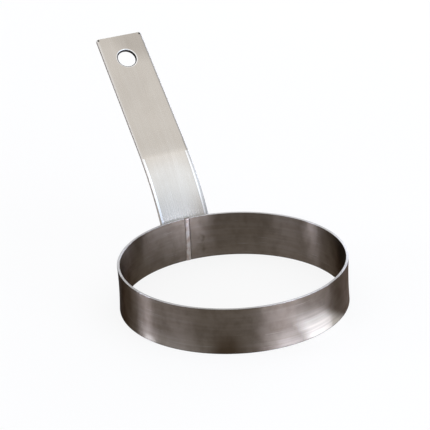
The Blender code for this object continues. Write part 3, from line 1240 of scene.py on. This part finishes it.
    def punch_hole(self, strap: Object) -> None:
        """Cuts the hanging hole, with a wide conical edge in front and a small one at the back."""
        front, back = self.flank(self.hole_edge_width), self.flank(self.hole_back_edge)
        bore, front_base = front[0]
        back_base = back[0][1]
        bpy.ops.mesh.primitive_cylinder_add(
            vertices=self.hole_sides,
            radius=bore,
            depth=front_base + back_base,
            end_fill_type="NGON",
            location=(0.0, 0.0, (front_base - back_base) / 2),
        )
        cutter = bpy.context.active_object
        settle(cutter)
        for side, rings in ((1.0, front), (-1.0, back)):
            edit(cutter)
            bpy.ops.mesh.select_mode(type="FACE")
            mesh = cutter.data
            bm = bmesh.from_edit_mesh(mesh)
            for face in bm.faces:
                face.select_set(face.normal.z * side > math.cos(self.hole_edge_slope))
            bmesh.update_edit_mesh(mesh)
            for (radius, height), (next_radius, next_height) in zip(rings, rings[1:]):
                bpy.ops.mesh.extrude_region_move(
                    TRANSFORM_OT_translate={"value": (0.0, 0.0, side * (next_height - height))}
                )
                scale = next_radius / radius
                bpy.ops.transform.resize(
                    value=(scale, scale, 1.0), center_override=(0.0, 0.0, side * next_height)
                )
        leave_edit_mode()
        cutter.matrix_world = self.blade_place(self.blade_length - self.hole_to_tip)
        bpy.context.view_layer.update()
        apply_modifier(strap, "BOOLEAN", operation="DIFFERENCE", object=cutter, solver="EXACT")
        bpy.data.objects.remove(cutter)

    def build(self) -> Object:
        """Makes the strap from its flat pattern: thickened, bent, marked by the electrodes and punched."""
        strap = self.flat_pattern()
        self.thicken(strap)
        self.form(strap)
        strap.name = "strap_steel_handle"
        strap.data.name = "strap_steel_handle"
        self.press_marks(strap)
        self.punch_hole(strap)
        smooth_faces(strap)
        self.mark_surface(strap)
        # Painted shade: dark spots at both tip corners, and a wider darkening about the right one.
        corner = self.blade_place(self.blade_length - self.corner_shade_inset)
        aside = self.tip_width / 2 - self.corner_shade_inset
        corner_shade_spots = tuple(corner @ Vector((side * aside, 0.0, self.thickness / 2)) for side in (1.0, -1.0))
        finish = replace(self.finish, corner_shade_spots=corner_shade_spots, corner_shades=corner_shade_spots[:1])
        strap.data.materials.append(finish.make(Vector((0.0, self.line_y, self.kick_start))))
        return strap

    def outside_radius(self) -> float:
        """The foot's outer face, from the ring's axis."""
        return self.line_radius + self.thickness / 2

    def press_marks(self, strap: Object) -> None:
        """Presses the electrodes' marks into the foot's outer face."""
        outside = self.outside_radius()

        def depth(place: Vector) -> float:
            if self.ring.reach(place) < outside - self.thickness / 4 or place.z > self.kick_start:
                return 0.0
            return self.spots.mark(place, outside)

        displace(strap, "marks", depth, -self.spots.mark_depth)

    def half_width(self, height: float) -> float:
        """Half the strap's width at a height on the strap before it is bent."""
        share = min(max(height - self.kick_start, 0.0) / (self.tip - self.kick_start), 1.0)
        return (self.foot_width + (self.tip_width - self.foot_width) * share) / 2

    def to_side(self, place: Vector) -> float:
        """How far a point is from the nearer side of the strap before it is bent."""
        return self.half_width(place.z) - abs(place.x)

    def mark_surface(self, strap: Object) -> None:
        """Stores where the hole's cone is painted as a highlight and its bore painted dark as shade, and
        where the welds have tinted the strap.
        """
        outside = self.outside_radius()

        def heat(place: Vector) -> float:
            if place.z > self.kick_start + self.spots.tint_radius:
                return 0.0
            return self.spots.tint(place, outside)

        to_hole = self.blade_place(self.blade_length - self.hole_to_tip).inverted()
        bore = self.hole_diameter / 2

        def inside(face: MeshPolygon, radius: float) -> bool:
            local = to_hole @ face.center
            return local.xy.length < radius and abs(local.z) < self.thickness

        # The bore: painted nearly black as shade, and painted dark like the sides.
        def bored(face: MeshPolygon) -> float:
            return 1.0 if inside(face, bore + self.hole_lip) else 0.0

        # Painted highlight: the hole's conical edge, painted near white.
        def cone(face: MeshPolygon) -> float:
            wide, narrow = bore + self.hole_edge_width, bore + self.hole_lip
            return self.hole_highlight if inside(face, wide) and not inside(face, narrow) else 0.0

        set_face_values(strap, "cone", cone)
        set_point_values(strap, "heat", heat)
        set_face_values(strap, "sheared_and_shaded", bored)
        set_face_values(strap, "bore", bored)


@dataclass(frozen=True)
class SoftBox:
    """One rectangular soft lamp that faces the ring.

    Its azimuth is counted to the right from the camera and its elevation from the floor, in degrees. Its
    sizes and its distance are in metres, and its radiance is 1 where it looks as bright as the white floor.
    """

    name: str
    azimuth: float
    elevation: float
    width: float
    height: float
    radiance: float
    distance: float = 1.0
    tint: Colour = (0.91, 0.98, 1.22)

    def energy(self) -> float:
        """The lamp's power, in Blender's watts."""
        return math.pi * self.radiance * self.width * self.height


@dataclass
class Studio:
    """The pale floor, the soft lamps, the room's light and the camera."""

    ring: RingPlace
    azimuth: float = -23.9
    elevation: float = 25.43
    roll: float = -2.54
    distance: float = 1.0
    target_height: float = 10.0 * MM
    target_pixel: Pair = (233.69, 280.91)
    focal_pixels: float = 2270.0
    floor_size: float = 8.0
    floor_colour: Colour = (0.88, 0.88, 0.88)
    floor_glow: float = 0.86
    room_levels: tuple[Pair, ...] = ((0.25, 0.02), (0.85, 0.90))
    lamps: tuple[SoftBox, ...] = (
        SoftBox("left_strip", -90.5, 10.0, 0.24, 0.36, 14.5),
        SoftBox("left_fill", -57.0, 14.0, 0.48, 0.46, 2.4),
        SoftBox("right_start", 30.0, 6.0, 0.22, 0.26, 12.6),
        SoftBox("right_strip", 49.0, 6.0, 0.46, 0.26, 20.0),
        SoftBox("right_edge", 80.0, 6.0, 0.65, 0.26, 9.5),
        SoftBox("right_top", 62.0, 43.0, 0.80, 0.66, 0.52, tint=(0.80, 1.0, 1.25)),
        SoftBox("back_right", 145.0, 10.0, 0.78, 0.36, 5.5),
        SoftBox("behind", 180.0, 26.0, 0.80, 0.34, 1.6, tint=(0.98, 1.0, 1.05)),
    )

    def toward(self, azimuth: float, elevation: float) -> Vector:
        """The direction from the ring to a place, its azimuth counted to the right from the camera."""
        turn = math.radians(180.0 - self.azimuth - azimuth)
        rise = math.radians(elevation)
        return Vector((math.sin(turn) * math.cos(rise), math.cos(turn) * math.cos(rise), math.sin(rise)))

    def add_camera(self) -> None:
        """Adds the camera where the photo was taken from, aimed so that the ring lands on its pixels."""
        target = self.ring.centre + Vector((0.0, 0.0, self.target_height))
        back = self.toward(0.0, self.elevation)
        level = Vector(UP).cross(back).normalized()
        rise = back.cross(level)
        roll = math.radians(self.roll)
        right = level * math.cos(roll) + rise * math.sin(roll)
        up = rise * math.cos(roll) - level * math.sin(roll)
        turned = Matrix((right, up, back)).transposed()
        across = self.target_pixel[0] - IMAGE_PIXELS / 2
        down = self.target_pixel[1] - IMAGE_PIXELS / 2
        seen_at = Vector((across, -down, -self.focal_pixels)).normalized()
        aim = Vector((0.0, 0.0, -1.0)).rotation_difference(seen_at).to_matrix()
        data = bpy.data.cameras.new("camera")
        data.lens = data.sensor_width * self.focal_pixels / IMAGE_PIXELS
        camera = bpy.data.objects.new("camera", data)
        bpy.context.scene.collection.objects.link(camera)
        turn = (turned @ aim.inverted()).to_4x4()
        camera.matrix_world = Matrix.Translation(target + back * self.distance) @ turn
        bpy.context.scene.camera = camera

    def add_floor(self) -> None:
        """Adds the floor: pale under the lamps, and white to the camera and in reflections."""
        leave_edit_mode()
        bpy.ops.mesh.primitive_plane_add(size=self.floor_size, location=self.ring.centre)
        floor = bpy.context.active_object
        floor.name = "floor"
        sheet = Sheet("pale_floor")
        sheet.shader.inputs["Base Color"].default_value = (*self.floor_colour, 1.0)
        sheet.shader.inputs["Roughness"].default_value = 1.0
        sheet.shader.inputs["Specular IOR Level"].default_value = 0.0
        rays = sheet.nodes.new("ShaderNodeLightPath").outputs
        seen = sheet.number("ADD", rays["Is Camera Ray"], rays["Is Glossy Ray"])
        seen = sheet.number("ADD", seen, rays["Is Transmission Ray"])
        white = sheet.nodes.new("ShaderNodeEmission")
        sheet.put(white.inputs["Strength"], 1.0)
        mix = sheet.nodes.new("ShaderNodeMixShader")
        sheet.put(mix.inputs["Fac"], sheet.number("MULTIPLY", seen, self.floor_glow))
        sheet.put(mix.inputs[1], sheet.shader.outputs["BSDF"])
        sheet.put(mix.inputs[2], white.outputs["Emission"])
        sheet.put(sheet.nodes["Material Output"].inputs["Surface"], mix.outputs["Shader"])
        floor.data.materials.append(sheet.material)

    def add_lamps(self) -> None:
        """Adds the soft boxes, each facing the ring."""
        target = self.ring.centre + Vector((0.0, 0.0, self.target_height))
        for box in self.lamps:
            data = bpy.data.lights.new(box.name, "AREA")
            data.shape = "RECTANGLE"
            data.size = box.width
            data.size_y = box.height
            data.energy = box.energy()
            data.color = box.tint
            lamp = bpy.data.objects.new(box.name, data)
            bpy.context.scene.collection.objects.link(lamp)
            away = self.toward(box.azimuth, box.elevation)
            turned = away.to_track_quat("Z", "Y").to_matrix().to_4x4()
            lamp.matrix_world = Matrix.Translation(target + away * box.distance) @ turned

    def light_room(self) -> None:
        """Gives the room a soft grey light that is darker towards the horizon."""
        world = bpy.data.worlds.new("studio_room")
        bpy.context.scene.world = world
        world.use_nodes = True
        nodes, links = world.node_tree.nodes, world.node_tree.links
        direction = nodes.new("ShaderNodeTexCoord").outputs["Generated"]
        rise = nodes.new("ShaderNodeSeparateXYZ")
        links.new(direction, rise.inputs["Vector"])
        ramp = nodes.new("ShaderNodeValToRGB")
        ramp.color_ramp.interpolation = "EASE"
        for element, (place, level) in zip(ramp.color_ramp.elements, self.room_levels):
            element.position = place
            element.color = (level, level, level, 1.0)
        links.new(rise.outputs["Z"], ramp.inputs["Fac"])
        links.new(ramp.outputs["Color"], nodes["Background"].inputs["Color"])

    def build(self) -> None:
        """Adds everything round the object and sets the plain view."""
        self.add_floor()
        self.add_lamps()
        self.light_room()
        self.add_camera()
        bpy.context.scene.view_settings.view_transform = "Standard"


def hand_over(piece: Object, slot: str, *nodes: str) -> None:
    """Rides a finished piece on the body in place of its CAD nodes, and reports it.

    Args:
        piece: The finished object.
        slot: The record's material slot; it is not used.
        nodes: The CAD nodes that it stands for.
    """
    leave_edit_mode()
    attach(piece, ROOT)
    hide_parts(*nodes)
    log.info("%s: %d faces, stands for %s", piece.name, len(piece.data.polygons), ", ".join(nodes))


def dress_spot_welds(finish: FusedSteel) -> None:
    """Gives each spot weld's own solid the fused finish."""
    for name, node in sorted(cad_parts.items()):
        if name.startswith("spot_weld"):
            low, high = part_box(name)
            node.data.materials.clear()
            node.data.materials.append(finish.make((low + high) / 2))
            log.info("%s: fused finish", name)


def main() -> None:
    """Builds the pieces in order, hands each over and sets up the studio."""
    logging.basicConfig(level=logging.INFO, format="%(message)s")
    low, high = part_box("ring_band")
    radius = RING_DIAMETER / 2
    ring = RingPlace(Vector((0.0, low.y + radius, low.z)), radius)
    spots = WeldSpots(ring)
    dark_steel = BrushedSteel(
        "dark_brushed_steel",
        Brushing.ROUND_THE_BAND,
        colour=(0.146, 0.118, 0.095),
        film_colour=(0.108, 0.084, 0.064),
        edge_colour=(0.64, 0.63, 0.62),
        painted_shade_colour=(0.061, 0.040, 0.023),
        roughness=0.43,
        anisotropy=0.95,
        edge_tint=0.2,
        worn_gloss=0.08,
        stroke_share=0.03,
        scratch_share=0.10,
        film_share=0.6,
        shade_line_share=0.85,
        cloud=Grain((200.0, 200.0, 170.0), detail=3.0, breaks=0.55),
        wave_depth=0.35 * MM,
    )
    light_steel = BrushedSteel(
        "satin_strap_steel",
        Brushing.ALONG_THE_STRAP,
        colour=(0.66, 0.61, 0.55),
        film_colour=(0.59, 0.54, 0.48),
        edge_colour=(0.86, 0.84, 0.81),
        painted_shade_colour=(0.33, 0.29, 0.25),
        roughness=0.27,
        anisotropy=0.4,
        edge_tint=0.5,
        worn_gloss=0.06,
        stroke_share=0.10,
        scratch_share=0.15,
        film_share=0.4,
        shade_line_share=0.45,
        cloud=Grain((70.0, 70.0, 110.0), detail=3.0, breaks=0.55),
    )
    bead_steel = FusedSteel("bead_steel", colour=(0.36, 0.33, 0.31), tint=(0.26, 0.20, 0.17), roughness=0.45)
    hand_over(Band(ring, spots, dark_steel).build(), "band_steel", "ring_band")
    hand_over(SeamBead(ring, bead_steel).build(), "weld_steel", "ring_seam_weld")
    hand_over(StrapHandle(ring, spots, light_steel).build(), "strap_steel", "handle_strap")
    dress_spot_welds(bead_steel)
    Studio(ring).build()


if __name__ == "__main__":
    main()
